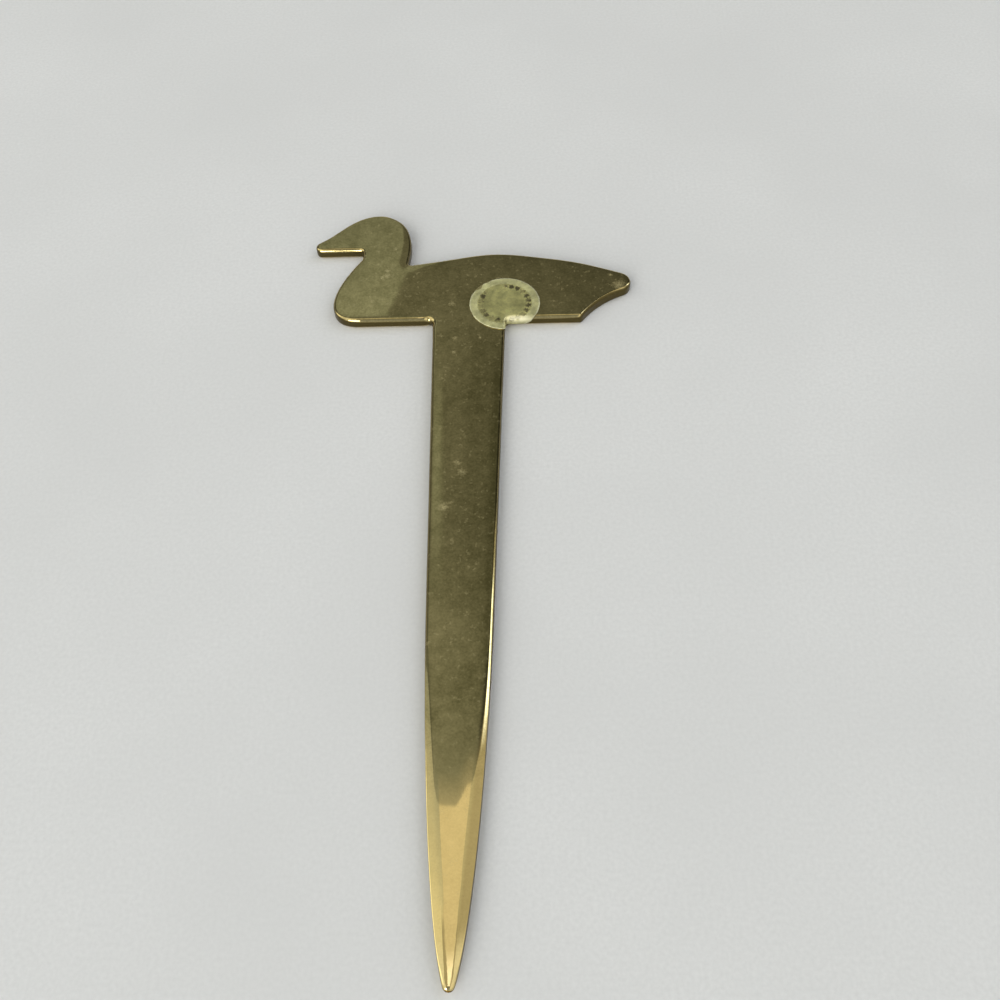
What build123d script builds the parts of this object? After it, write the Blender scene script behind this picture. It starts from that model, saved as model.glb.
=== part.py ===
from build123d import *
import os
from math import cos, radians, sin

# A letter opener cut from one brass plate: a duck is the handle and a long pointed blade leaves its belly.
# A round paper label is stuck on the duck, reaches onto the blade's root and folds down over the belly's
# edge. Millimetres. The plate lies on its back on z = 0, x runs along the duck and y points from the blade
# to the head. The origin is on the blade's centre line, where the blade leaves the belly.

# Plate
plate_thickness = 3.2
edge_round = 0.7            # buffed round-over along the whole outline, front and back

# Blade
blade_length = 167.8        # from the belly's edge to the tip
root_width = 19.3
shoulder_width = 15.2       # where the straight flanks start to curve in to the point
point_length = 78.0         # from the shoulder to the tip
tip_radius = 1.25
tip_half_angle = 16.0       # degrees between the point's side and the centre line, at the tip
flank_reach = 11.0          # how far the flank's direction carries on into the point's curve
tip_reach = 16.2            # how far the tip's direction carries back into the point's curve

# Ground bevels, four alike: both flanks of the point, front and back
bevel_angle = 15.0          # degrees below the face
tip_flat_width = 1.8        # flat left between two bevels at the tip
crown_length = 17.0         # length at the tip over which both faces curve down
tip_edge = 1.3              # thickness left at the very tip

# Duck: the belly, from breast to tail
breast_foot = (-29.4, 0.0)
breast_reach = 11.8         # how far the belly's direction carries on into the breast's curve
throat_angle = 35.0         # degrees that the throat leans forward below the chin
throat_reach = 12.6         # how far the throat's direction carries down into the breast's curve
chin = (-30.3, 23.8)
tail_foot = (29.9, 0.0)

# Duck: the bill and the head
bill_underside = 27.4
bill_front = -44.0
bill_radius = 1.9           # round end of the bill
bill_turn = 149.0           # degrees that the bill's end turns through
forehead = (-38.1, 35.2)
brow = (-33.0, 39.7)
head_top = (-26.4, 41.7)
poll = (-20.0, 38.3)
nape = (-17.1, 31.0)
neck_foot = (-17.5, 20.8)
neck_direction = (-0.1, -1.0)  # down the back of the neck, at its foot

# Duck: the back and the tail
back_direction = (1.0, 0.2)    # along the back, at the neck
back_front = (-5.4, 23.0)
back_top = (5.8, 24.7)
back_rear = (19.2, 23.1)
rump = (31.0, 20.3)
tail_centre = (40.2, 13.0)
tail_radius = 3.5
tail_start = 68.0           # degrees from +x at which the tail's round end starts
tail_turn = 136.0           # degrees that it turns through

# Corner radii, seen from the front
root_corner = 1.5           # between the blade and the belly
chin_corner = 0.8           # between the chin and the bill's underside
throat_corner = 2.0         # between the throat and the chin
neck_corner = 0.8
tail_corner = 1.2

# Label: a paper disc on a film of glue
label_diameter = 19.0
label_centre = (9.5, 5.3)
paper_thickness = 0.12
glue_thickness = 0.05


def blade_outline():
    """Both edges of the blade and its tip, from the right of the root round to the left."""
    root = Vector(root_width / 2, 0)
    shoulder = Vector(shoulder_width / 2, point_length - blade_length)
    flank = (shoulder - root).normalized()
    lean = radians(tip_half_angle)
    tip_side = Vector(tip_radius * cos(lean), tip_radius * (1 - sin(lean)) - blade_length)
    flank_handle = shoulder + flank * flank_reach
    tip_handle = tip_side + Vector(sin(lean), cos(lean)) * tip_reach
    right = [Line(root, shoulder), Bezier(shoulder, flank_handle, tip_handle, tip_side)]
    left = [mirror(edge, about=Plane.YZ) for edge in right]
    tip = ThreePointArc(tip_side, (0, -blade_length), (-tip_side.X, tip_side.Y))
    return right + [tip] + left


def duck_outline():
    """The duck from the left of the blade's root, over bill, head, back and tail, to the right of it."""
    belly_front = Line((-root_width / 2, 0), breast_foot)
    lean = radians(throat_angle)
    throat = Vector(chin) - Vector(sin(lean), cos(lean)) * throat_reach
    breast = Bezier(breast_foot, Vector(breast_foot) - Vector(breast_reach, 0), throat, chin)
    chin_wall = Line(chin, (chin[0], bill_underside))
    underside = Line(chin_wall @ 1, (bill_front + bill_radius, bill_underside))
    bill = JernArc(underside @ 1, (-1, 0), bill_radius, -bill_turn)
    head_points = [bill @ 1, forehead, brow, head_top, poll, nape, neck_foot]
    head = Spline(*head_points, tangents=(bill % 1, neck_direction))
    tail = CenterArc(tail_centre, tail_radius, tail_start, -tail_turn)
    back_points = [neck_foot, back_front, back_top, back_rear, rump, tail @ 0]
    back = Spline(*back_points, tangents=(back_direction, tail % 0))
    under_tail = TangentArc(tail @ 1, tail_foot, tangent=tail % 1)
    belly_rear = Line(tail_foot, (root_width / 2, 0))
    return [belly_front, breast, chin_wall, underside, bill, head, back, tail, under_tail, belly_rear]


def corner_edge(solid, point):
    """The upright edge of a plate that stands at a point of its outline."""
    upright = solid.edges().filter_by(Axis.Z)
    return upright.sort_by_distance(Vector(point[0], point[1], plate_thickness / 2))[0]


def bevel_waste():
    """What the wheel takes off the right flank of the front face."""
    start = Vector(shoulder_width / 2, point_length - blade_length, plate_thickness)
    end = Vector(tip_flat_width / 2, tip_radius - blade_length, plate_thickness)
    run = (end - start).normalized()
    outward = Vector(-run.Y, run.X, 0)
    down = radians(bevel_angle)
    normal = outward * sin(down) + Vector(0, 0, cos(down))
    ground = Plane(origin=start, x_dir=run, z_dir=normal)
    length = point_length + root_width
    box = Box(length, 2 * root_width, plate_thickness, align=(Align.MIN, Align.CENTER, Align.MIN))
    return ground * box


def crown_waste():
    """What is taken off the front face to bring the tip down in a gentle curve."""
    drop = (plate_thickness - tip_edge) / 2
    tip = -blade_length
    start = (tip + crown_length, plate_thickness)
    curve = TangentArc(start, (tip, plate_thickness - drop), tangent=(-1, 0))
    rim = Polyline(curve @ 1, (tip, 2 * plate_thickness), (start[0], 2 * plate_thickness), start)
    profile = Plane.YZ * make_face([curve, rim])
    return extrude(profile, root_width, both=True)


def brass_plate():
    """The duck and the blade in one piece, with rounded edges, ground bevels and a crowned tip."""
    plate = extrude(make_face(duck_outline() + blade_outline()), plate_thickness)
    corners = {
        (-root_width / 2, 0.0): root_corner,
        (root_width / 2, 0.0): root_corner,
        (chin[0], bill_underside): chin_corner,
        chin: throat_corner,
        neck_foot: neck_corner,
        tail_foot: tail_corner,
    }
    for point, radius in corners.items():
        plate = fillet(corner_edge(plate, point), radius)
    rims = plate.faces().sort_by(Axis.Z)[-1].edges() + plate.faces().sort_by(Axis.Z)[0].edges()
    plate = fillet(rims, edge_round)
    middle = Plane.XY.offset(plate_thickness / 2)
    front_right = bevel_waste()
    front = [front_right, mirror(front_right, about=Plane.YZ), crown_waste()]
    for waste in front:
        plate = plate - waste - mirror(waste, about=middle)
    return plate


def jacket(distance):
    """The front of the plate round the right of the blade's root, grown outward by a distance."""
    margin = 2 * edge_round
    radius = label_diameter / 2 + margin
    left, right = label_centre[0] - radius, label_centre[0] + radius
    low, high = label_centre[1] - radius, label_centre[1] + radius
    taper = (root_width - shoulder_width) / 2 / (blade_length - point_length)
    flank = root_width / 2 + distance
    corner = (flank - distance * taper, -distance)
    blade_side = (flank + low * taper, low)
    outline = Polyline(
        (left, low), blade_side, corner, (right, -distance), (right, high), (left, high), close=True
    )
    height = plate_thickness - edge_round + distance
    solid = Pos(0, 0, edge_round) * extrude(make_face(outline), height)
    solid = fillet(corner_edge(solid, corner), root_corner - distance)
    return fillet(solid.faces().sort_by(Axis.Z)[-1].edges(), edge_round + distance)


def label_layer(inner, outer):
    """One layer of the label, between two distances from the plate's skin."""
    # The disc is slanted: a point of the flap lies as far down the wall as it would lie past the edge
    disc = Pos(label_centre[0], label_centre[1], plate_thickness) * Circle(label_diameter / 2)
    slant = extrude(disc, 2 * plate_thickness, dir=(0, 1, -1), both=True)
    return (jacket(outer) - jacket(inner)) & slant


parts = {
    "duck_blade_plate": brass_plate(),
    "label_glue": label_layer(0.0, glue_thickness),
    "round_label": label_layer(glue_thickness, glue_thickness + paper_thickness),
}
os.makedirs("parts", exist_ok=True)
for name, part in parts.items():
    export_step(part, f"parts/{name}.step")
    box = part.bounding_box()
    print(name, "solids", len(part.solids()), "volume", round(part.volume, 2), "size", box.size)
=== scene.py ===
# %% [markdown]
# # A brass letter opener
# The real thing is one piece of brass plate: a duck is the handle, and a long pointed blade leaves its
# belly. A round paper label is stuck over the edge where the two meet. The frame brings the construction at
# its real size, so this lesson only dresses it. We start by loading the frame and by keeping its box, to
# take sizes from.

# %% Load the frame
from math import cos, pi, radians

import bmesh
import bpy
import numpy as np
from mathutils import Matrix, Vector, kdtree, noise
from mathutils.geometry import delaunay_2d_cdt


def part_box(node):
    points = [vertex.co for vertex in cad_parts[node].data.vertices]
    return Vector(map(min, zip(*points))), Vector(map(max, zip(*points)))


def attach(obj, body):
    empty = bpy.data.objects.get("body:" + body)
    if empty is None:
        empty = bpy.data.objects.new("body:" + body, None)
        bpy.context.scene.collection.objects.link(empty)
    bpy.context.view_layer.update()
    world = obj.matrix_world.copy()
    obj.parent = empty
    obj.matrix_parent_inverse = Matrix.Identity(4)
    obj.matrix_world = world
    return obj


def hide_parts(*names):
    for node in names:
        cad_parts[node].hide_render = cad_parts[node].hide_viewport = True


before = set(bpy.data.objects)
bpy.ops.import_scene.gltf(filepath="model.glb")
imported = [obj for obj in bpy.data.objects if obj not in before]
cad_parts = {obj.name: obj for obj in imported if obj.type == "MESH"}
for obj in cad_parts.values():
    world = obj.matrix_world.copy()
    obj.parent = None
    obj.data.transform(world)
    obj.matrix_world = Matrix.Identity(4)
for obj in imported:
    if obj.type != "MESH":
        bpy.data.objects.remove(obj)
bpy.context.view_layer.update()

MM = 0.001                  # one millimetre, in the metres that Blender works in
plate_low, plate_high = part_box("duck_blade_plate")
thickness = (plate_high.z - plate_low.z) / MM
tip_y = plate_low.y / MM
print("nodes", sorted(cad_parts), "plate", (plate_high - plate_low) / MM)

# %% [markdown]
# ## The outline of the plate
# The frame's plate is made of flat facets. A polished edge shows each facet as a glint, so the skin gets an
# outline of its own. We could draw it again point by point, but then it might leave the real one. Instead a
# level cut through the frame's plate gives the points, and a cubic B-spline with those points as its
# control points rounds the facets off. It stays within a few hundredths of a millimetre of them.

# %% Cut the plate level and smooth the cut
cut_share = 0.51            # height of the cut, as a share of the thickness
weld = 0.002                # points nearer than this are one point
control_spacing = 0.3       # nearest that two control points may be
outline_spacing = 0.3       # distance between two points of the finished outline
span_steps = 40             # points worked out along each span of the B-spline


def level_cut(mesh, height):
    """The closed line where a level plane cuts a mesh, as points in millimetres in order along it."""
    cut = bmesh.new()
    cut.from_mesh(mesh)
    bmesh.ops.remove_doubles(cut, verts=cut.verts, dist=weld * MM)
    whole = cut.verts[:] + cut.edges[:] + cut.faces[:]
    plane = {"plane_co": (0, 0, height * MM), "plane_no": (0, 0, 1)}
    bmesh.ops.bisect_plane(cut, geom=whole, clear_inner=True, clear_outer=True, **plane)
    bmesh.ops.remove_doubles(cut, verts=cut.verts, dist=weld * MM)
    first = next(iter(cut.verts))
    line = [first]
    step = first.link_edges[0].other_vert(first)
    while step is not first:
        onward = [e.other_vert(step) for e in step.link_edges]
        line.append(step)
        step = onward[0] if onward[0] is not line[-2] else onward[1]
    points = np.array([v.co[:2] for v in line]) / MM
    cut.free()
    return points


def thinned(points, spacing):
    """The same line without points that crowd the one before."""
    kept = [points[0]]
    for point in points[1:]:
        if np.linalg.norm(point - kept[-1]) >= spacing:
            kept.append(point)
    return np.array(kept)


def b_spline(control):
    """A closed cubic B-spline, as many points along each of its spans."""
    t = np.linspace(0, 1, span_steps, endpoint=False)[None, :, None]
    before, here, after, later = (np.roll(control, -i, axis=0)[:, None, :] for i in (-1, 0, 1, 2))
    curve = (
        (1 - t) ** 3 * before
        + (3 * t**3 - 6 * t**2 + 4) * here
        + (-3 * t**3 + 3 * t**2 + 3 * t + 1) * after
        + t**3 * later
    ) / 6
    return curve.reshape(-1, 2)


def evenly_spaced(points, spacing):
    """The same closed line with its points an equal distance apart."""
    closed = np.vstack([points, points[:1]])
    along = np.concatenate([[0], np.cumsum(np.linalg.norm(np.diff(closed, axis=0), axis=1))])
    places = np.linspace(0, along[-1], round(along[-1] / spacing), endpoint=False)
    return np.column_stack([np.interp(places, along, closed[:, i]) for i in (0, 1)])


def inward_of(line):
    """The direction to the inside at each point of a closed line."""
    along = np.roll(line, -1, axis=0) - np.roll(line, 1, axis=0)
    along /= np.linalg.norm(along, axis=1)[:, None]
    ahead = np.roll(line, -1, axis=0)
    area = np.sum(line[:, 0] * ahead[:, 1] - ahead[:, 0] * line[:, 1])
    return np.column_stack([-along[:, 1], along[:, 0]]) * np.sign(area)


cad_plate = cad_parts["duck_blade_plate"]
cut_line = level_cut(cad_plate.data, cut_share * thickness)
outline = evenly_spaced(b_spline(thinned(cut_line, control_spacing)), outline_spacing)
inward = inward_of(outline)
print("outline of", len(cut_line), "cut points and", len(outline), "smooth points")

# %% [markdown]
# ## The ground point
# Four bevels thin the blade's point, and its last centimetres curve down to the tip. The frame holds them
# as exact planes with sharp crests. On brass that was ground and buffed by hand, each crest is soft and not
# quite straight. So we measure the planes in the frame, and let a soft minimum join them when the skin is
# made.

# %% Measure the bevels and the tip's curve in the frame
facing_up = 0.5             # least upward share of a normal that belongs to the front
normal_digits = 2           # normals that agree to so many digits belong to one plane
tip_depth = 0.02            # corners so near the end count as the tip
mesh = cad_plate.data
groups = {}
for face in mesh.polygons:
    if face.normal.z > facing_up:
        groups.setdefault(tuple(round(n, normal_digits) for n in face.normal), []).append(face)
by_area = sorted(groups.values(), key=lambda faces: -sum(f.area for f in faces))
ground_faces = by_area[1:3]     # the largest plane is the front itself, and the next two are its bevels
bevels = []
for faces in ground_faces:
    normal = sum((f.normal * f.area for f in faces), Vector()).normalized()
    largest = max(faces, key=lambda f: f.area)
    bevels.append((normal, normal.dot(largest.center / MM)))
bevel_start = max(mesh.vertices[i].co.y for faces in ground_faces for f in faces for i in f.vertices) / MM
corners = np.array([v.co for v in mesh.vertices]) / MM
on_face = corners[corners[:, 2] > thickness - weld]
crown_start = on_face[:, 1].min()
at_tip = corners[corners[:, 1] < tip_y + tip_depth]
crown_drop = thickness - at_tip[:, 2].max()
print("bevels", [tuple(round(n, 3) for n in b[0]) for b in bevels], "from y", bevel_start)
print("crown from y", crown_start, "down by", crown_drop)

# %% [markdown]
# ## The skin of the plate
# The skin is a field of heights over the outline: every point knows how far it is from the edge, and from
# that its height follows. Rows along the outline carry the buffed round-over, and a Delaunay net fills the
# rest, with more rows near the edge, where the buffing wheel has rolled the face off a little. A cube with
# modifiers would be quicker, but it gives neither the soft crests nor the gentle waves that make a
# reflection look like metal.

# %% Heights of the front and the back
edge_round = 0.7            # buffed round-over along the edge
edge_change = 0.15          # share by which the round-over changes along the edge
edge_wave = 14.0            # distance over which it changes
front_gain = 0.30           # share by which the round-over is larger where the edge faces the blade's point
front_power = 6             # how fast that ends as the edge turns away
filed_corner = (-9.9, -0.3)  # the inner corner left of the blade's root, where a file has cut the edge back
filed_reach = 1.6
filed_gain = 0.8            # share by which the round-over is larger there
crest_softness = (0.05, 0.20)   # how deep the soft minimum reaches where ground faces meet: tip, start
grinding_drift = 0.04       # how far a hand-ground bevel leaves its plane
grinding_wave = 23.0
grinding_start = 0.004      # how fast the wheel came down where a bevel starts, per millimetre squared
buffing_drop = 0.06         # how far the wheel has rolled the face off at the edge
buffing_reach = 1.3
face_wave_height = 0.006    # gentle waves left in the faces by grinding and buffing
face_wave = 21.0
front_seed, back_seed, edge_seed = 3.0, 11.0, 29.0


def waves(points, length, seed):
    """Smooth noise from -1 to 1 at each point, with waves of about the given length."""
    return np.array([noise.noise(Vector((x / length, y / length, seed))) for x, y in points])


def soft_min(a, b, width):
    """The smaller of two heights, with a rounded crest where they cross."""
    return np.minimum(a, b) - np.maximum(width - np.abs(a - b), 0) ** 2 / (4 * width)


def face_height(points, inset, radius, seed):
    """How high the face stands over the other face's plane, at points that lie inset from the edge."""
    gap = np.clip(radius - inset, 0, radius)
    height = thickness - radius + np.sqrt(radius**2 - gap**2)
    softness = np.interp(points[:, 1], (tip_y, bevel_start), crest_softness)
    for normal, offset in bevels:
        plane = (offset - points @ np.array(normal[:2])) / normal.z
        plane += grinding_drift * waves(points, grinding_wave, seed + normal.x)
        plane += grinding_start * np.clip(points[:, 1] - bevel_start, 0, None) ** 2
        height = soft_min(height, plane, softness)
    along_crown = np.clip((crown_start - points[:, 1]) / (crown_start - tip_y), 0, 1)
    height -= crown_drop * along_crown**2
    height -= buffing_drop * np.exp(-inset / buffing_reach)
    return height - face_wave_height * (1 + waves(points, face_wave, seed))


from_corner = np.linalg.norm(outline - filed_corner, axis=1)
edge_radius = edge_round * (1 + edge_change * waves(outline, edge_wave, edge_seed))
edge_radius *= 1 + filed_gain * np.exp(-((from_corner / filed_reach) ** 2))
facing_point = np.clip(inward[:, 1], 0, 1) ** front_power
edge_radius *= 1 + front_gain * facing_point
print("round-over from", edge_radius.min(), "to", edge_radius.max(), "mm")

# %% [markdown]
# The points of the net come from two sources: rows that follow the outline inward, and a plain grid in the
# middle. A point of a row is kept only where no other stretch of the outline is nearer, so the rows stop by
# themselves in the narrow tip.

# %% Net of points over the face
round_steps = np.radians([0, 12, 24, 36, 48, 60, 75, 90])   # from the wall up to the face
ring_margin = 0.12          # how far the net's outer ring lies inside the round-over
face_rows = (1.0, 1.2, 1.4, 1.6, 1.85, 2.2, 2.7, 3.4)       # insets of more rows, where there is room
row_share = 0.98            # least share of its inset that a row's point has to keep from every edge
grid_spacing = 1.3
inside_only, net_weld = 1, 0.00002      # what the net keeps, and how near its points may lie


def edge_finder(line, inner):
    """A function that tells how far inside a closed line points lie, and which of its points is nearest."""
    tree = kdtree.KDTree(len(line))
    for i, (x, y) in enumerate(line):
        tree.insert((x, y, 0), i)
    tree.balance()

    def find(points):
        nearest = np.array([tree.find((x, y, 0))[1] for x, y in points])
        return np.einsum("ij,ij->i", points - line[nearest], inner[nearest]), nearest

    return find


def staggered_grid(line, spacing):
    """Points of a plain grid over the box of a line, with every second row shifted by half a step."""
    low, high = line.min(axis=0), line.max(axis=0)
    across = np.arange(low[0], high[0], spacing)
    along = np.arange(low[1], high[1], spacing)
    return np.array([(x + (j % 2) * spacing / 2, y) for j, y in enumerate(along) for x in across])


def tied_net(ring_line, inner_points):
    """A net of triangles that ends at a closed line. The line's points come first in it."""
    count = len(ring_line)
    edges = [(i, (i + 1) % count) for i in range(count)]
    points = [Vector(p) for p in np.vstack([ring_line, inner_points])]
    tied = delaunay_2d_cdt(points, edges, [], inside_only, net_weld)
    return np.array([v[:] for v in tied[0]]), [list(f) for f in tied[2]]


to_plate_edge = edge_finder(outline, inward)
row_insets = [edge_radius * (1 - cos(a)) for a in round_steps] + [edge_radius + ring_margin]
rows = [outline + inward * inset[:, None] for inset in row_insets]
inner_points = []
for step in face_rows:
    row = outline + inward * step
    inset, nearest = to_plate_edge(row)
    clear = inset > edge_radius[nearest] + 2 * ring_margin
    inner_points.append(row[clear & (inset > row_share * step)])
grid = staggered_grid(outline, grid_spacing)
inner_points.append(grid[to_plate_edge(grid)[0] > face_rows[-1] + grid_spacing / 2])
net, net_faces = tied_net(rows[-1], np.vstack(inner_points))
ring = len(outline)
print("net", len(net), "points,", len(net_faces), "faces")

# %% [markdown]
# Now the front, the wall and the back are sewn into one closed skin. Each point also carries two numbers
# for the material: how far it is from the edge, and how far the wall's dull finish and its painted shade
# cover it. A material can't know these by itself, and painting them by hand would not follow the outline.

# %% Sew the front, the wall and the back together
wall_rows = 2               # rows of points on the wall between the two round-overs
wall_from, wall_fade = 62.0, 18.0   # degrees up the round-over where the wall's dull finish and painted shade start, and their fade
wall_drop = 34.0            # how much further down it starts where the edge faces the blade's point
point_drop = 30.0          # how much further down it starts at the point, whose edges keep less painted shade and dullness
point_from, point_to = -95.0, -118.0      # y between which that sets in
shaded_hollow = (36.5, 5.5)   # the hollow under the tail, where painted shade and dull finish reach further up the edge
dull_reach, dull_power = 8.5, 4     # how far it goes, and how abruptly it ends
dull_rise = 30.0            # how much further up the wall's finish starts there


def plate_skin():
    """The whole closed skin as one mesh, with from_edge and the wall's share of dull finish and painted
    shade.
    """
    inset, nearest = to_plate_edge(net)
    inset[:ring] = row_insets[-1]
    radius = edge_radius[nearest]
    radius[:ring] = edge_radius
    sides = []
    for seed in (front_seed, back_seed):
        edge = [face_height(p, d, edge_radius, seed) for p, d in zip(rows[:-1], row_insets[:-1])]
        sides.append((edge, face_height(net, inset, radius, seed)))
    (front_edge, front_face), (back_edge, back_face) = sides
    start = wall_from - wall_drop * facing_point
    start -= point_drop * np.clip((outline[:, 1] - point_from) / (point_to - point_from), 0, 1)
    from_hollow = np.linalg.norm(outline - shaded_hollow, axis=1)
    start += dull_rise * np.exp(-((from_hollow / dull_reach) ** dull_power))
    share = [np.clip((start - angle) / wall_fade, 0, 1) for angle in np.degrees(round_steps)]
    steps = range(len(round_steps))
    strips = [(net[:ring], front_face[:ring], inset[:ring], 0.0)]
    strips += [(rows[i], front_edge[i], row_insets[i], share[i]) for i in reversed(steps)]
    top, bottom = front_edge[0], thickness - back_edge[0]
    for i in range(1, wall_rows + 1):
        down = i / (wall_rows + 1)
        strips.append((outline, top * (1 - down) + bottom * down, row_insets[0], 1.0))
    strips += [(rows[i], thickness - back_edge[i], row_insets[i], share[i]) for i in steps]
    strips.append((net[:ring], thickness - back_face[:ring], inset[:ring], 0.0))
    points = [np.column_stack(strip[:2]) for strip in strips]
    points.append(np.column_stack([net[ring:], front_face[ring:]]))
    points.append(np.column_stack([net[ring:], thickness - back_face[ring:]]))
    first_front = len(strips) * ring
    first_back = first_front + len(net) - ring
    last_strip = (len(strips) - 1) * ring
    faces = []
    for s in range(0, last_strip, ring):
        for i in range(ring):
            j = (i + 1) % ring
            faces.append((s + i, s + j, s + ring + j, s + ring + i))
    for face in net_faces:
        faces.append([i if i < ring else i - ring + first_front for i in face])
        faces.append([i + last_strip if i < ring else i - ring + first_back for i in reversed(face)])
    skin = bpy.data.meshes.new("brass_plate")
    skin.from_pydata((np.vstack(points) * MM).tolist(), [], faces)
    skin.shade_smooth()
    from_edge = np.concatenate([s[2] for s in strips] + [inset[ring:], inset[ring:]])
    wall_dull_and_shade = np.concatenate([s[3] + np.zeros(ring) for s in strips] + [np.zeros(2 * (len(net) - ring))])
    for name, values in (("from_edge", from_edge), ("wall_dull_and_shade", wall_dull_and_shade)):
        skin.attributes.new(name, "FLOAT", "POINT").data.foreach_set("value", values.astype(np.float32))
    return skin


def new_piece(name, mesh, node):
    """A piece that stands for a node of the frame: it is hung on the root's body, and the node is hidden."""
    check = bmesh.new()
    check.from_mesh(mesh)
    bmesh.ops.recalc_face_normals(check, faces=check.faces)
    open_edges = sum(not e.is_manifold for e in check.edges)
    print(name, len(check.faces), "faces,", open_edges, "open edges,", check.calc_volume() / MM**3, "mm3")
    check.to_mesh(mesh)
    check.free()
    piece = bpy.data.objects.new(name, mesh)
    bpy.context.scene.collection.objects.link(piece)
    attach(piece, "root")
    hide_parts(node)
    return piece


brass_plate = new_piece("brass_plate", plate_skin(), "duck_blade_plate")

# %% [markdown]
# ## Materials: helpers
# Colours are written as sRGB hex values, as a paint chart has them, and turned to the linear values that
# light is worked out with. Every node is added by one function, which takes the node's settings and what
# its sockets hold: a number, a colour, or the result of another node. Patches and layers of colour are built
# from it.

# %% Helpers for materials
COORDINATES, SEPARATE, COMBINE = "ShaderNodeTexCoord", "ShaderNodeSeparateXYZ", "ShaderNodeCombineXYZ"
NOISE, MATH, VECTOR = "ShaderNodeTexNoise", "ShaderNodeMath", "ShaderNodeVectorMath"
RANGE, MIX, BUMP = "ShaderNodeMapRange", "ShaderNodeMix", "ShaderNodeBump"
ATTRIBUTE, PRINCIPLED, OUTPUT = "ShaderNodeAttribute", "ShaderNodeBsdfPrincipled", "ShaderNodeOutputMaterial"
SMOOTH = {"interpolation_type": "SMOOTHSTEP"}


def linear(hex_colour):
    """An sRGB hex colour as linear red, green, blue and alpha."""
    shares = [int(hex_colour[i:i + 2], 16) / 255 for i in (1, 3, 5)]
    return [c / 12.92 if c <= 0.04045 else ((c + 0.055) / 1.055) ** 2.4 for c in shares] + [1.0]


def add(tree, kind, sockets=None, result=0, **settings):
    """Adds one node and gives one of its results. Each socket gets a value, or a link from another node."""
    made = tree.nodes.new(kind)
    for name, value in settings.items():
        setattr(made, name, value)
    for name, value in (sockets or {}).items():
        if isinstance(value, bpy.types.NodeSocket):
            tree.links.new(value, made.inputs[name])
        else:
            made.inputs[name].default_value = value
    return made.outputs[result] if made.outputs else None


def new_material(name):
    """An empty material, its node tree, and the place on the object in millimetres."""
    material = bpy.data.materials.new(name)
    material.use_nodes = True
    tree = material.node_tree
    tree.nodes.clear()
    place = add(tree, COORDINATES, result="Object")
    return material, tree, add(tree, VECTOR, {0: place, "Scale": 1 / MM}, operation="SCALE")


def dress(piece, material):
    """Gives a piece one material in all its slots."""
    if not piece.data.materials:
        piece.data.materials.append(material)
    for i in range(len(piece.data.materials)):
        piece.data.materials[i] = material
    print(piece.name, "wears", material.name, "of", len(material.node_tree.nodes), "nodes")


def ramp(value, places, results=(0.0, 1.0)):
    """What the sockets of a node hold that turns one range of values into another."""
    return dict(zip(("Value", "From Min", "From Max", "To Min", "To Max"), (value, *places, *results)))


def patch(tree, *limits):
    """How far inside a patch a place lies: each limit is a value, and where the patch starts and is full."""
    share = 1.0
    for value, places in limits:
        inside = add(tree, RANGE, ramp(value, places), **SMOOTH)
        share = add(tree, MATH, {0: inside, 1: share}, operation="MULTIPLY")
    return share


def layered(tree, ground, *layers):
    """A ground colour with others laid over it: each layer is how far it covers, and its colour."""
    for share, colour in layers:
        ground = add(tree, MIX, {0: share, 6: ground, 7: colour}, result=2, data_type="RGBA")
    return ground


noise_range = 0.3, 0.7      # nearly all values of a noise lie between these
print("the grey #808080 is", linear("#808080")[0], "in linear light")

# %% [markdown]
# ## Brass, buffed and tarnished
# Yellow brass plate, cut out, ground and buffed, and then handled for years. The buffing leaves a near
# mirror. Handling leaves an olive film in soft clouds with a fine grain of specks, and pale spots where a
# drop or a fingertip left a mark. The point is rubbed clean by the paper that it opens. The walls, which
# the wheel hardly touched, stay dull, and their brown is painted shade. Nearly all of that is one number,
# the film's thickness, added up from patterns. Marks of dried polish are a second one.

# %% Brass: the film
film_middle = 0.44          # how far the film hides the clean brass, on the whole
cloud_size, cloud_swing = 8.0, 0.18     # millimetres, and how much the film changes with the clouds
blotch_size, blotch_swing = 2.3, 0.15
speck_size, speck_swing = 0.5, 0.17
streak_width, streak_length, streak_swing = 0.8, 30.0, 0.03
fleck_size, fleck_strength = 0.9, 0.42  # scattered pale flecks
fleck_noise = 0.64, 0.72    # values of the noise between which a fleck begins
rub_places, rub_left = (-112.0, -136.0), 0.30   # y between which the point gets clean, and the share left
bands = (
    # darker along the blade's right edge and middle: film, from the edge, x, y at the top, y at the foot
    (0.32, (3.5, 1.0), (1.5, 4.5), (-6.0, -22.0), (-112.0, -96.0)),
    (0.16, (9.0, 8.0), (-2.0, 1.5), (-2.0, -12.0), (-126.0, -112.0)),
)
thin_patches = {
    # place on the face: radius, and how much thinner the film is there
    (-3.0, -92.0): (9.0, 0.34), (25.0, 4.5): (7.0, 0.30), (-29.0, 9.0): (9.0, 0.14),
}
dried_polish = "#C9C39B"    # what the pale marks are made of
mark_share, mark_roughness = 0.32, 0.24     # how far it hides the brass, and how much duller it is
spot_ragged, spot_rim = 2.0, 2.2    # how ragged a spot is, and where it ends, as shares of its radius
pale_spots = {
    # place on the face: radius
    (-21.3, 27.5): 0.7, (-23.0, 16.8): 1.0, (-24.4, 16.0): 0.7, (-23.2, 18.7): 0.7, (-29.7, 25.0): 0.5,
    (-29.7, 26.7): 0.45, (-4.7, 5.5): 0.9, (-7.1, -6.3): 0.6, (-3.5, -7.0): 0.6, (3.0, -7.0): 0.5,
    (-3.8, -12.0): 0.6, (-0.6, -51.0): 1.1, (-1.8, -48.0): 0.9, (-4.6, -61.0): 1.3, (40.5, 11.5): 1.8,
    (38.3, 15.2): 0.6,
}


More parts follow.
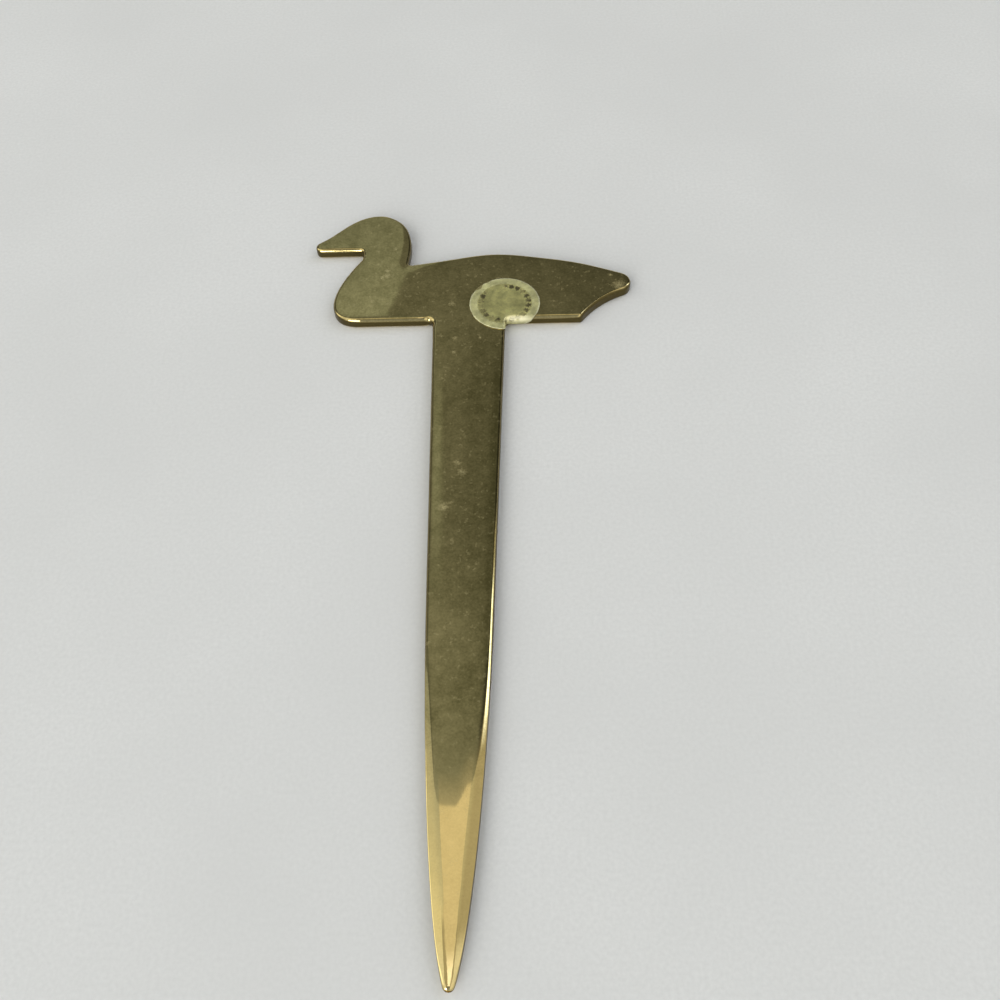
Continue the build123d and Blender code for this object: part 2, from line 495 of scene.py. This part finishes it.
def brass_film(tree, mm):
    """How thick the film is, and where marks lie in it, both from 0 to 1."""
    along = add(tree, VECTOR, {0: mm, 1: (1 / streak_width, 1 / streak_length, 1.0)}, operation="MULTIPLY")
    clouds = add(tree, NOISE, {"Vector": mm, "Scale": 1 / cloud_size, "Detail": 5.0, "Roughness": 0.6})
    blotches = add(tree, NOISE, {"Vector": mm, "Scale": 1 / blotch_size, "Detail": 3.0})
    specks = add(tree, NOISE, {"Vector": mm, "Scale": 1 / speck_size, "Detail": 2.0})
    streaks = add(tree, NOISE, {"Vector": along, "Scale": 1.0, "Detail": 2.0})
    film = film_middle
    swings = cloud_swing, blotch_swing, speck_swing, streak_swing
    for pattern, swing in zip((clouds, blotches, specks, streaks), swings):
        change = add(tree, RANGE, ramp(pattern, noise_range, (-swing, swing)))
        film = add(tree, MATH, {0: change, 1: film}, operation="ADD")
    x, y, _ = add(tree, SEPARATE, {0: mm}).node.outputs
    from_edge = add(tree, ATTRIBUTE, result="Fac", attribute_name="from_edge")
    for thicker, *limits in bands:
        band = {0: patch(tree, *zip((from_edge, x, y, y), limits)), 1: thicker, 2: film}
        film = add(tree, MATH, band, operation="MULTIPLY_ADD")
    for spot, (radius, thinner) in thin_patches.items():
        away = add(tree, VECTOR, {0: mm, 1: (*spot, thickness)}, result="Value", operation="DISTANCE")
        change = add(tree, RANGE, ramp(away, (0.0, radius), (-thinner, 0.0)), **SMOOTH)
        film = add(tree, MATH, {0: film, 1: change}, operation="ADD")
    rubbed = add(tree, RANGE, ramp(y, rub_places, (1.0, rub_left)), **SMOOTH)
    film = add(tree, MATH, {0: film, 1: rubbed}, operation="MULTIPLY")
    flecks = add(tree, NOISE, {"Vector": mm, "Scale": 1 / fleck_size, "Detail": 1.0})
    marks = add(tree, RANGE, ramp(flecks, fleck_noise, (0.0, fleck_strength)), **SMOOTH)
    for spot, radius in pale_spots.items():
        away = add(tree, VECTOR, {0: mm, 1: (*spot, thickness)}, result="Value", operation="DISTANCE")
        rag = {0: specks, 1: spot_ragged * radius, 2: away}
        ragged = add(tree, MATH, rag, operation="MULTIPLY_ADD")
        mark = add(tree, RANGE, ramp(ragged, (spot_rim * radius, radius)))
        marks = add(tree, MATH, {0: marks, 1: mark}, operation="MAXIMUM")
    share = add(tree, MATH, {0: rubbed, 1: mark_share}, operation="MULTIPLY")
    return film, add(tree, MATH, {0: marks, 1: share}, operation="MULTIPLY")


print("film with", len(bands), "bands,", len(thin_patches), "thin patches and", len(pale_spots), "pale spots")

# %% Brass: colour, gloss and buffing lines
brass_clean = "#E6D092"
brass_olive = "#9A8C58"
# painted shade: the dark brown that darkens the walls
wall_shade_brown = "#5C5130"
polish_roughness = 0.02
film_roughness = 0.025      # added where the film is thickest
wall_roughness = 0.34
worn_width, worn_left = 0.6, 0.85   # how far past the round-over an edge is worn, and the film left on it
line_width, line_length = 0.22, 16.0    # real buffing lines are finer; these are as fine as shows
line_depth = 0.00012


def brass():
    """Yellow brass under its film."""
    material, tree, mm = new_material("tarnished_yellow_brass")
    from_edge = add(tree, ATTRIBUTE, result="Fac", attribute_name="from_edge")
    wall = add(tree, ATTRIBUTE, result="Fac", attribute_name="wall_dull_and_shade")
    worn_places = edge_round, edge_round + worn_width
    worn = add(tree, RANGE, ramp(from_edge, worn_places, (worn_left, 1.0)), **SMOOTH)
    film, marks = brass_film(tree, mm)
    film = add(tree, MATH, {0: film, 1: worn}, operation="MULTIPLY", use_clamp=True)
    # the walls' brown is painted shade, and their roughness is their own dull finish
    coats = (film, linear(brass_olive)), (marks, linear(dried_polish)), (wall, linear(wall_shade_brown))
    colour = layered(tree, linear(brass_clean), *coats)
    metal = add(tree, MATH, {0: 1.0, 1: marks}, operation="SUBTRACT")
    gloss = {0: film, 1: film_roughness, 2: polish_roughness}
    face_roughness = add(tree, MATH, gloss, operation="MULTIPLY_ADD")
    gloss = {0: marks, 1: mark_roughness, 2: face_roughness}
    face_roughness = add(tree, MATH, gloss, operation="MULTIPLY_ADD")
    roughness = add(tree, MIX, {0: wall, 2: face_roughness, 3: wall_roughness}, data_type="FLOAT")
    along = add(tree, VECTOR, {0: mm, 1: (1 / line_width, 1 / line_length, 1.0)}, operation="MULTIPLY")
    lines = add(tree, NOISE, {"Vector": along, "Scale": 1.0, "Detail": 2.0})
    bump = add(tree, BUMP, {"Height": lines, "Distance": line_depth * MM, "Strength": 1.0})
    surface = add(tree, PRINCIPLED, {
        "Base Color": colour,
        "Metallic": metal,
        "Roughness": roughness,
        "Normal": bump,
    })
    add(tree, OUTPUT, {"Surface": surface})
    return material


dress(brass_plate, brass())

# %% [markdown]
# ## The label: its flat shape
# A round sticker of gilt paper. It was pressed over the corner between the belly and the blade, so it folds
# down over the belly's edge, and it had to tear there, because flat paper can't go round an inner corner. A
# disc with a thickness would lie through the brass. So the disc is first drawn flat, torn and a little
# ragged, and laid on the plate afterwards. Its size and place come from the frame.

# %% Flat shape of the label
label_low, label_high = (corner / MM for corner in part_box("round_label"))
glue_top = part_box("label_glue")[1].z / MM
label_radius = (label_high.x - label_low.x) / 2
glue_thickness = glue_top - thickness
paper_thickness = label_high.z - glue_top
label_centre = np.array([(label_low.x + label_high.x) / 2, label_high.y + glue_thickness - label_radius])
flap_end = label_low.z - thickness      # how far past the edge the flap goes, measured on the flat label
flank_from, flank_to = -4.0, -2.0       # y between which the blade's right flank is measured, near its root
flank = outline[(outline[:, 0] > 0) & (outline[:, 1] > flank_from) & (outline[:, 1] < flank_to)]
tear_middle = flank[:, 0].mean() + glue_thickness + paper_thickness
tear_width = 0.1
tear_left, tear_right = tear_middle - tear_width / 2, tear_middle + tear_width / 2
tear_top = -0.9             # where the tear ends, on the flat label
rim_steps, rim_spacing = 400, 0.25
ragged_depth, ragged_wave = 0.06, 1.3
notches = {2.42: (0.80, 0.12), 2.10: (0.35, 0.06), 3.5: (0.15, 0.09)}   # angle: depth, and width as an angle
label_seed = 41.0


def flat_label():
    """The rim of the flat label as a closed line, with the tear in it."""
    first = np.arcsin((flap_end - label_centre[1]) / label_radius)
    last = 1.5 * pi + (tear_left - label_centre[0]) / label_radius
    angles = np.linspace(first, last, rim_steps)
    spokes = np.column_stack([np.cos(angles), np.sin(angles)])
    radius = label_radius - ragged_depth * (1 + waves(spokes * label_radius, ragged_wave, label_seed))
    for angle, (depth, width) in notches.items():
        radius -= depth * np.exp(-(((angles - angle) / width) ** 2))
    round_part = label_centre + spokes * radius[:, None]
    tear = [(tear_left, tear_top), (tear_right, tear_top), (tear_right, flap_end)]
    return evenly_spaced(np.vstack([round_part, tear]), rim_spacing)


label_rim = flat_label()
print("label", 2 * label_radius, "mm at", label_centre, "paper", paper_thickness, "glue", glue_thickness)

# %% [markdown]
# Each flat point is then laid on the plate along a slanted line, at the paper's distance from the brass. A
# point past the edge lands as far down the wall as it would lie past the edge. The paper isn't quite flat:
# it has shallow wrinkles, two creases and some blisters where the glue has let go.

# %% Lay the label on the plate
label_spacing = 0.32
rim_clear = 0.6             # least distance from the rim to the grid, as a share of its spacing
wrinkle_depth, wrinkle_wave = 0.05, 2.6
wrinkle_share, crease_share = 0.3, 0.8  # how much of that depth wrinkles and creases take
blisters = {(10.4, 7.4): 1.1, (5.4, 4.3): 0.9, (5.1, 12.4): 0.8, (13.0, 2.4): 1.2}      # place: radius
creases = (((2.2, 10.6), (6.8, 12.8)), ((10.6, 1.6), (16.6, 2.2)))      # from, to
crease_width = 0.35
root_clear = 1.5            # the bulge is full this far to the right of the tear
fold_bulge = 0.45           # how far the flap stands off the wall, because the paper springs back
halvings = 26               # steps of the search along each slanted line


def laid_on_plate(flat, distance):
    """Where flat points of the label come to lie, at a distance from the plate's skin."""
    top = thickness + distance
    low = np.zeros(len(flat))
    for _ in range(halvings):
        height = (top + low) / 2
        y = flat[:, 1] + thickness - height
        inset = to_plate_edge(np.column_stack([flat[:, 0], y]))[0]
        reach = edge_round + distance
        gap = np.clip(edge_round - inset, 0, reach)
        skin = thickness - edge_round + np.sqrt(reach**2 - gap**2)
        above = (height > skin) | (inset < -distance)
        top = np.where(above, height, top)
        low = np.where(above, low, height)
    return np.column_stack([flat[:, 0], flat[:, 1] + thickness - height, height])


def spring_back(points):
    """Lets the flap bulge away from the wall, most in the middle of its height."""
    down = np.clip((thickness - points[:, 2]) / (thickness - label_low.z), 0, 1)
    past_blade = np.clip((points[:, 0] - tear_right) / root_clear, 0, 1)
    points[:, 1] -= fold_bulge * np.sin(pi * down) * past_blade
    return points


def paper_lift(flat):
    """How far the paper stands up, from 0 to 1."""
    lift = wrinkle_share * (1 + waves(flat, wrinkle_wave, label_seed))
    for place, radius in blisters.items():
        lift += np.exp(-((np.linalg.norm(flat - place, axis=1) / radius) ** 2))
    for start, end in creases:
        run = np.subtract(end, start)
        along = np.clip((flat - start) @ run / (run @ run), 0, 1)
        away = np.linalg.norm(flat - start - along[:, None] * run, axis=1)
        lift += crease_share * np.exp(-((away / crease_width) ** 2))
    return np.clip(lift, 0, 1)


def label_mesh():
    """The label as a closed skin: its face, its rim and its glued side."""
    grid = staggered_grid(label_rim, label_spacing)
    inside = edge_finder(label_rim, inward_of(label_rim))(grid)[0] > rim_clear * label_spacing
    flat, faces = tied_net(label_rim, grid[inside])
    face = laid_on_plate(flat, glue_thickness + paper_thickness - wrinkle_depth * (1 - paper_lift(flat)))
    back = laid_on_plate(flat, np.full(len(flat), glue_thickness))
    face, back = spring_back(face), spring_back(back)
    count, rim_count = len(flat), len(label_rim)
    faces += [[i + count for i in reversed(f)] for f in faces]
    for i in range(rim_count):
        j = (i + 1) % rim_count
        faces.append([i, j, j + count, i + count])
    mesh = bpy.data.meshes.new("label_paper")
    mesh.from_pydata((np.vstack([face, back]) * MM).tolist(), [], faces)
    mesh.shade_smooth()
    return mesh


label_paper = new_piece("label_paper", label_mesh(), "round_label")

# %% [markdown]
# ## Gilt paper and old glue
# The sticker is paper faced with thin dull foil. Its field is a soft gold that shows the room as a blur,
# and a paler border runs round it. A ring of plain dots stands in place of print, rubbed away in places.
# The glue is a thin film of acrylic that has gathered dust where it looks out from under the paper.

# %% Materials of the label
foil_gold, border_gold, print_brown, cut_paper = "#E1D992", "#C4C08A", "#2E2812", "#D8D5B2"
foil_roughness, border_roughness = 0.34, 0.46
foil_metallic, border_metallic = 0.85, 0.45
border_places = 7.1, 7.5    # radius between which the pale border starts, in millimetres
cut_places, cut_pale = (9.0, 9.4), 0.6      # radius where bare paper starts, and how pale it is
fold_highlight_paper, fold_highlight_share = "#F3ECCB", 0.7     # painted highlight on the fold, drawn as pale bare paper, and how far it covers
fold_x, fold_y = ((8.6, 11.5), (18.0, 13.5)), ((-2.6, -0.8), (1.3, -0.1))   # where the painted fold highlight starts and is full
fold_noise = 0.24, 0.36     # values of the noise between which the painted fold highlight begins
dot_count, dot_ring, dot_radius, dot_soft = 22, 6.45, 0.76, 0.2
rubbed_size = 2.4           # size of the rubbed patches in the print
rubbed_noise, ink_left = (0.36, 0.54), (0.6, 0.95)      # values of their noise, and the ink left there
print_gone, gone_reach = (6.95, 10.5), (2.0, 3.2)   # where a thumb wore it off, and how far from there
smear_size, smear = 0.45, 0.6   # how the dots' edges have run, in millimetres
grain_size, grain_swing = 0.5, 0.10
stain_size, stain_swing = 3.0, 0.34
emboss_size, emboss_depth = 0.35, 0.004
glue_clear, glue_dusty = "#8C8256", "#6B6440"
glue_roughness, dust_roughness = 0.25, 0.3      # of clean glue, and added by dust


def gilt_paper():
    """Dull-foiled paper with a pale border, a ring of worn dots and a painted highlight on the fold."""
    material, tree, mm = new_material("gilt_foil_paper")
    x, y, z = add(tree, SEPARATE, {0: mm}).node.outputs
    # On the flap the flat label's y goes on down the wall, so y and z count together
    across = add(tree, MATH, {0: x, 1: label_centre[0]}, operation="SUBTRACT")
    y_z = add(tree, MATH, {0: y, 1: z}, operation="ADD")
    up = add(tree, MATH, {0: y_z, 1: label_centre[1] + thickness}, operation="SUBTRACT")
    flat = add(tree, COMBINE, {0: across, 1: up})
    radius = add(tree, VECTOR, {0: flat}, result="Value", operation="LENGTH")
    angle = add(tree, MATH, {0: up, 1: across}, operation="ARCTAN2")
    turn = add(tree, MATH, {0: angle, 1: dot_count / (2 * pi)}, operation="MULTIPLY")
    part = add(tree, MATH, {0: turn}, operation="FRACT")
    pitch = 2 * pi * dot_ring / dot_count
    aside = add(tree, MATH, {0: part, 1: pitch, 2: -pitch / 2}, operation="MULTIPLY_ADD")
    out = add(tree, MATH, {0: radius, 1: dot_ring}, operation="SUBTRACT")
    across_dot = add(tree, COMBINE, {0: aside, 1: out})
    from_dot = add(tree, VECTOR, {0: across_dot}, result="Value", operation="LENGTH")
    runs = add(tree, NOISE, {"Vector": mm, "Scale": 1 / smear_size, "Detail": 2.0})
    run = add(tree, RANGE, ramp(runs, noise_range, (-smear / 2, smear / 2)))
    ragged = add(tree, MATH, {0: from_dot, 1: run}, operation="ADD")
    away = add(tree, VECTOR, {0: mm, 1: (*print_gone, thickness)}, result="Value", operation="DISTANCE")
    dot = patch(tree, (ragged, (dot_radius + dot_soft, dot_radius - dot_soft)), (away, gone_reach))
    rubbed = add(tree, NOISE, {"Vector": mm, "Scale": 1 / rubbed_size, "Detail": 3.0})
    left = add(tree, RANGE, ramp(rubbed, rubbed_noise, ink_left), **SMOOTH)
    ink = add(tree, MATH, {0: dot, 1: left}, operation="MULTIPLY")
    border = patch(tree, (radius, border_places))
    tone = 1.0
    for size, swing in ((grain_size, grain_swing), (stain_size, stain_swing)):
        pattern = add(tree, NOISE, {"Vector": mm, "Scale": 1 / size, "Detail": 3.0})
        change = add(tree, RANGE, ramp(pattern, noise_range, (1 - swing, 1 + swing)))
        tone = add(tree, MATH, {0: change, 1: tone}, operation="MULTIPLY")
    cut = add(tree, RANGE, ramp(radius, cut_places, (0.0, cut_pale)), **SMOOTH)
    bare = layered(tree, linear(foil_gold), (border, linear(border_gold)), (cut, linear(cut_paper)))
    stained = add(tree, VECTOR, {0: bare, "Scale": tone}, operation="SCALE")
    # painted highlight: the fold is coloured as pale paper, which also takes away the ink and the metal
    flat_y = add(tree, MATH, {0: up, 1: label_centre[1]}, operation="ADD")
    fold = patch(tree, *zip((x, x, flat_y, flat_y), fold_x + fold_y), (rubbed, fold_noise))
    fold = add(tree, MATH, {0: fold, 1: fold_highlight_share}, operation="MULTIPLY")
    kept = add(tree, MATH, {0: 1.0, 1: fold}, operation="SUBTRACT")
    ink = add(tree, MATH, {0: ink, 1: kept}, operation="MULTIPLY")
    colour = layered(tree, stained, (fold, linear(fold_highlight_paper)), (ink, linear(print_brown)))
    metal = add(tree, MIX, {0: border, 2: foil_metallic, 3: border_metallic}, data_type="FLOAT")
    ink_and_highlight = add(tree, MATH, {0: ink, 1: fold}, operation="MAXIMUM")
    not_ink = add(tree, MATH, {0: 1.0, 1: ink_and_highlight}, operation="SUBTRACT")
    metal = add(tree, MATH, {0: metal, 1: not_ink}, operation="MULTIPLY")
    roughness = add(tree, MIX, {0: border, 2: foil_roughness, 3: border_roughness}, data_type="FLOAT")
    emboss = add(tree, NOISE, {"Vector": mm, "Scale": 1 / emboss_size, "Detail": 2.0})
    bump = add(tree, BUMP, {"Height": emboss, "Distance": emboss_depth * MM, "Strength": 1.0})
    surface = add(tree, PRINCIPLED, {
        "Base Color": colour,
        "Metallic": metal,
        "Roughness": roughness,
        "Normal": bump,
    })
    add(tree, OUTPUT, {"Surface": surface})
    return material


def old_glue():
    """Acrylic glue, yellowed, with dust in it."""
    material, tree, mm = new_material("yellowed_acrylic_glue")
    dust = add(tree, NOISE, {"Vector": mm, "Scale": 1 / grain_size, "Detail": 4.0})
    share = add(tree, RANGE, ramp(dust, noise_range))
    colour = layered(tree, linear(glue_clear), (share, linear(glue_dusty)))
    gloss = {0: share, 1: dust_roughness, 2: glue_roughness}
    roughness = add(tree, MATH, gloss, operation="MULTIPLY_ADD")
    bump = add(tree, BUMP, {"Height": dust, "Distance": emboss_depth * MM, "Strength": 1.0})
    surface = add(tree, PRINCIPLED, {
        "Base Color": colour,
        "Roughness": roughness,
        "Normal": bump,
    })
    add(tree, OUTPUT, {"Surface": surface})
    return material


dress(label_paper, gilt_paper())
dress(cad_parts["label_glue"], old_glue())

# %% [markdown]
# ## Floor
# A plain pale board, matt, with the faint clouds and fibres of card. It carries the shadow and gives the
# walls something light to show.

# %% Floor
floor_pale, floor_grey = "#DEDEDC", "#D3D3D1"
floor_reach = 3.0           # metres
floor_gap = 0.02            # millimetres under the plate, so that no two faces share a plane
floor_cloud, floor_fibre = 70.0, 0.9
floor_roughness = 0.85


def matt_card():
    """Pale matt card."""
    material, tree, mm = new_material("matt_card")
    clouds = add(tree, NOISE, {"Vector": mm, "Scale": 1 / floor_cloud, "Detail": 4.0})
    fibres = add(tree, NOISE, {"Vector": mm, "Scale": 1 / floor_fibre, "Detail": 2.0})
    both = add(tree, MATH, {0: clouds, 1: fibres}, operation="MULTIPLY")
    share = add(tree, RANGE, ramp(both, [end**2 for end in noise_range]))
    colour = layered(tree, linear(floor_grey), (share, linear(floor_pale)))
    surface = add(tree, PRINCIPLED, {"Base Color": colour, "Roughness": floor_roughness})
    add(tree, OUTPUT, {"Surface": surface})
    return material


bpy.ops.mesh.primitive_plane_add(size=2 * floor_reach, location=(0, 0, -floor_gap * MM))
floor = bpy.context.object
floor.name = "floor"
dress(floor, matt_card())

# %% [markdown]
# ## Light tent
# Polished brass shows what stands round it, so the light is mostly a matter of what there is to see. The
# plate lies in a pale tent, and its flat face shows a grey card behind the duck's head: that is why the
# duck and the blade look olive. The card has a paler part at the left, which the head and the breast show,
# and it ends overhead, thin enough there to let some light through, where a warm lamp begins that the point
# shows as gold. The tent's left wing brightens to the front, as the left bevel does towards the tip. In
# front, where the camera stands, the tent has a dim gap that keeps the rounded edges calm. A narrow lamp at
# the right draws the white line along the blade, and a bright panel at the left draws a pale one along the
# point and a glint at the blade's root. A picture of a room would do the same, but a few angles say it more
# plainly.

# %% Tent, card and lamps
tent_left, tent_right = (0.72, 0.73, 0.64, 1), (0.54, 0.52, 0.44, 1)
tent_sides = (-0.4, 0.3)    # sideways shares of a direction between which the tent's tone changes
wing_sides, wing_turn = (-0.09, -0.13), (0.42, 0.20)   # its left wing: sideways and backward shares
wing_back, wing_front = (0.35, 0.40, 0.44, 1), (0.97, 0.95, 0.82, 1)
tent_front, tent_turn = (0.98, 0.98, 0.95, 1), (0.15, 0.02)     # its front, and backward shares
tent_low, tent_rise = (0.60, 0.61, 0.62, 1), (0.10, 0.50)       # its foot, and upward shares
gap_above, gap_dim, gap_ahead = (0.52, 0.50, 0.42, 1), (0.17, 0.18, 0.185, 1), (0.36, 0.39, 0.43, 1)
gap_limits = ((-0.21, -0.185), (0.065, 0.05), (0.24, 0.14))   # side, side, back: a dim gap at the camera
gap_turn, gap_fade = (0.05, -0.35), (-0.2, -0.8)     # backward shares between which its tone changes
card_tone, pale_tone = (0.15, 0.163, 0.157, 1), (0.268, 0.307, 0.305, 1)
card_rise = ((0.83, 0.945), (1.0, 1.62))    # upward shares, and how bright the card is there
card_turn = ((-0.10, 0.20), (1.15, 0.35))   # sideways shares, and how bright it is there
card_left = ((-0.35, -0.22), (0.7, 1.0))    # the same at its left end
card_thin = ((0.366, 0.343), (1.0, 0.72))   # backward shares near its end, and how much light it keeps off
card_low = ((0.65, 0.71), (0.87, 1.12))     # upward shares, and how bright its low part is there
card_foot = (0.17, 0.31)    # upward shares between which its foot fades in
card_end, card_soft = 0.3395, 0.0015        # backward share where it ends overhead
card_steps = (
    # sideways shares between which its end steps back, and by how much
    (-0.076, -0.055, 0.017), (0.30, 0.40, 0.18), (-0.30, -0.40, 0.075),
)
pale_edge = ((0.645, 0.709), (-0.090, -0.129))  # upward shares, and where the pale part's edge is there
pale_soft, pale_left, pale_top = 0.0015, (-0.27, -0.22), (0.735, 0.72)
streak_share = 0.7          # how pale a streak is that goes on upward from there
streak_limits = ((-0.086, -0.102), (-0.150, -0.116), (0.725, 0.785), (0.87, 0.80))  # side, side, up, up
lamp_edge, lamp_core = (0.89, 0.83, 0.70, 1), (1.68, 1.65, 1.75, 1)
lamp_fade = (0.12, 0.0)     # backward shares between which the lamp gets whiter
lamp_limits = ((-0.108, -0.100), (-0.03, -0.045), (-0.12, -0.06))      # side, side, back
panel_tone = (1.7, 1.72, 1.64, 1)
panel_limits = ((-0.62, -0.70), (-0.25, -0.10), (0.35, 0.29))   # side, back, back
strip_tone = (4.0, 4.4, 5.4, 1)
strip_limits = ((0.34, 0.42), (0.34, 0.40), (0.515, 0.475), (0.05, 0.14))   # side, back, back, up
print("card ends at the backward share", card_end, "and the lamp is", lamp_core[0], "at its brightest")

# %% [markdown]
# The world takes a direction apart into its sideways, backward and upward shares. Each part of the tent is
# a patch between some of those shares, and the patches are laid over each other from the tent to the lamps.

# %% Tent as a world
def studio():
    """The tent as a world."""
    world = bpy.data.worlds.new("light_tent")
    world.use_nodes = True
    tree = world.node_tree
    tree.nodes.clear()
    direction = add(tree, COORDINATES, result="Generated")
    side, back, high = add(tree, SEPARATE, {0: direction}).node.outputs
    dim = layered(tree, gap_above, (patch(tree, (back, gap_turn)), gap_dim))
    dim = layered(tree, dim, (patch(tree, (back, gap_fade)), gap_ahead))
    glow = layered(tree, lamp_edge, (patch(tree, (back, lamp_fade)), lamp_core))
    above = layered(tree, tent_left, (patch(tree, (side, tent_sides)), tent_right))
    wing = layered(tree, wing_back, (add(tree, RANGE, ramp(back, wing_turn)), wing_front))
    above = layered(tree, above, (patch(tree, (side, wing_sides)), wing))
    above = layered(tree, above, (patch(tree, (back, tent_turn)), tent_front))
    edge = add(tree, RANGE, ramp(high, *pale_edge))
    from_edge = add(tree, MATH, {0: side, 1: edge}, operation="SUBTRACT")
    pale = patch(tree, (from_edge, (pale_soft, -pale_soft)), (side, pale_left), (high, pale_top))
    streak = patch(tree, *zip((side, side, high, high), streak_limits))
    pale = add(tree, MATH, {0: streak, 1: streak_share, 2: pale}, operation="MULTIPLY_ADD", use_clamp=True)
    grey = layered(tree, card_tone, (pale, pale_tone))
    for value, tones in ((high, card_rise), (high, card_low), (side, card_turn), (side, card_left)):
        change = add(tree, RANGE, ramp(value, *tones))
        grey = add(tree, VECTOR, {0: grey, "Scale": change}, operation="SCALE")
    past_end = back
    for start, end, further in card_steps:
        step = add(tree, RANGE, ramp(side, (start, end), (0.0, further)), **SMOOTH)
        past_end = add(tree, MATH, {0: past_end, 1: step}, operation="SUBTRACT")
    card = patch(tree, (past_end, (card_end - card_soft, card_end + card_soft)), (high, card_foot))
    thin = add(tree, RANGE, ramp(past_end, *card_thin))
    card = add(tree, MATH, {0: card, 1: thin}, operation="MULTIPLY")
    tone = layered(
        tree, tent_low,
        (patch(tree, (high, tent_rise)), above),
        (patch(tree, *zip((side, side, back), gap_limits)), dim),
        (patch(tree, *zip((side, side, back), lamp_limits)), glow),
        (card, grey),
        (patch(tree, *zip((side, back, back), panel_limits)), panel_tone),
        (patch(tree, *zip((side, back, back, high), strip_limits)), strip_tone),
    )
    light = add(tree, "ShaderNodeBackground", {"Color": tone, "Strength": 1.0})
    add(tree, "ShaderNodeOutputWorld", {"Surface": light})
    print("tent of", len(tree.nodes), "nodes")
    return world


bpy.context.scene.world = studio()

# %% [markdown]
# One large soft window stands upright in front, at the left, and leans a little. The bill's underside, the
# foot of the breast and the corner at the blade's root show it as white glints, and it casts the soft
# shadow.

# %% Window
window_place = (-1.007, -2.0, 1.20)
window_width, window_height = 1.14, 1.70    # metres
window_turn, window_lean = radians(90.0), radians(-4.4)     # upright, its top leaning to the left
window_watts = 36.0
window_colour = "#F6F6F4"
window_light = bpy.data.lights.new("window", "AREA")
window_light.shape = "RECTANGLE"
window_light.size, window_light.size_y = window_width, window_height
window_light.energy = window_watts
window_light.color = linear(window_colour)[:3]
window = bpy.data.objects.new("window", window_light)
window.location = window_place
window.rotation_euler = (window_turn, window_lean, 0)
bpy.context.scene.collection.objects.link(window)
print("window", window_width, "by", window_height, "m,", window_watts, "W")

# %% [markdown]
# ## Camera
# The camera stands where the photograph was taken from: in front of the point, looking down at the duck,
# close enough for the point to look larger than the duck. Its place was worked out from how the straight
# blade and the belly draw together in the picture.

# %% Camera
camera_place = Vector((18.16, -212.43, 221.46)) * MM
look_down, heading, roll = radians(54.9), radians(3.53), radians(-3.8)
focal_share = 1.13          # focal length as a share of the picture's width
near_limit = 0.01           # metres
camera_data = bpy.data.cameras.new("camera")
camera_data.lens = focal_share * camera_data.sensor_width
camera_data.clip_start = near_limit
camera = bpy.data.objects.new("camera", camera_data)
tilt = Matrix.Rotation(pi / 2 - look_down, 4, "X") @ Matrix.Rotation(roll, 4, "Z")
camera.matrix_world = Matrix.Translation(camera_place) @ Matrix.Rotation(heading, 4, "Z") @ tilt
bpy.context.scene.collection.objects.link(camera)
bpy.context.scene.camera = camera
bpy.context.scene.view_settings.view_transform = "Standard"
print("camera", camera_data.lens, "mm lens at", camera_place)
